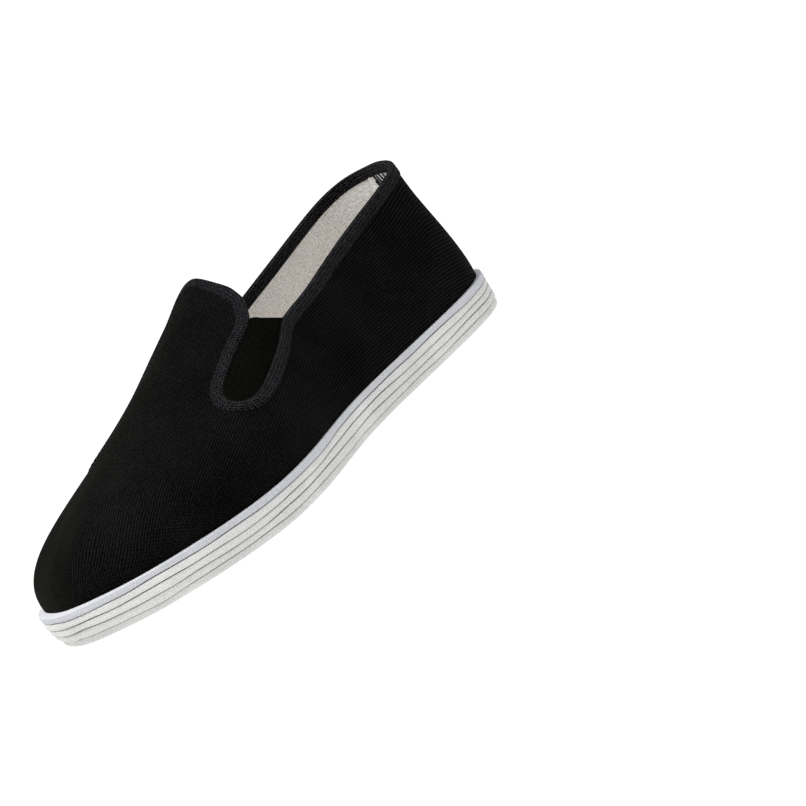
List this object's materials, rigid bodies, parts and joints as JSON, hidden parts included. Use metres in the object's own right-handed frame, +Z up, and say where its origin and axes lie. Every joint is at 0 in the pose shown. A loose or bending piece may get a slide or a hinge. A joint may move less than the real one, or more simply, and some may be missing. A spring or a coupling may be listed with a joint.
{
  "type": "cloth shoe",
  "caption": "Slip-on cloth shoe for the right foot: twill upper with elastic side gussets, bound collar and a thick sole of stitched cloth layers.",
  "frame": {"origin": "on the floor under the middle of the shoe's bounding box", "axes": "+Z up, toe towards -Y and heel towards +Y, the medial side of this right shoe towards +X"},
  "size_m": [0.1026, 0.2784, 0.0827],
  "materials": {
    "bleached_cotton": "matt woven cotton",
    "bluish_cotton": "matt woven cotton",
    "black_cotton_twill": "ribbed twill with a faint sheen",
    "charcoal_tape": "matt knitted tape",
    "black_elastic": "fine ribbed elastic webbing"
  },
  "bodies": {
    "root": {"outsole": "bleached_cotton", "sole_layer_2": "bleached_cotton", "sole_layer_3": "bleached_cotton", "sole_layer_4": "bleached_cotton", "welt_layer": "bluish_cotton", "insole": "bleached_cotton", "upper": "black_cotton_twill", "binding": "charcoal_tape", "gusset_medial": "black_elastic", "gusset_lateral": "black_elastic"}
  },
  "joints": []
}
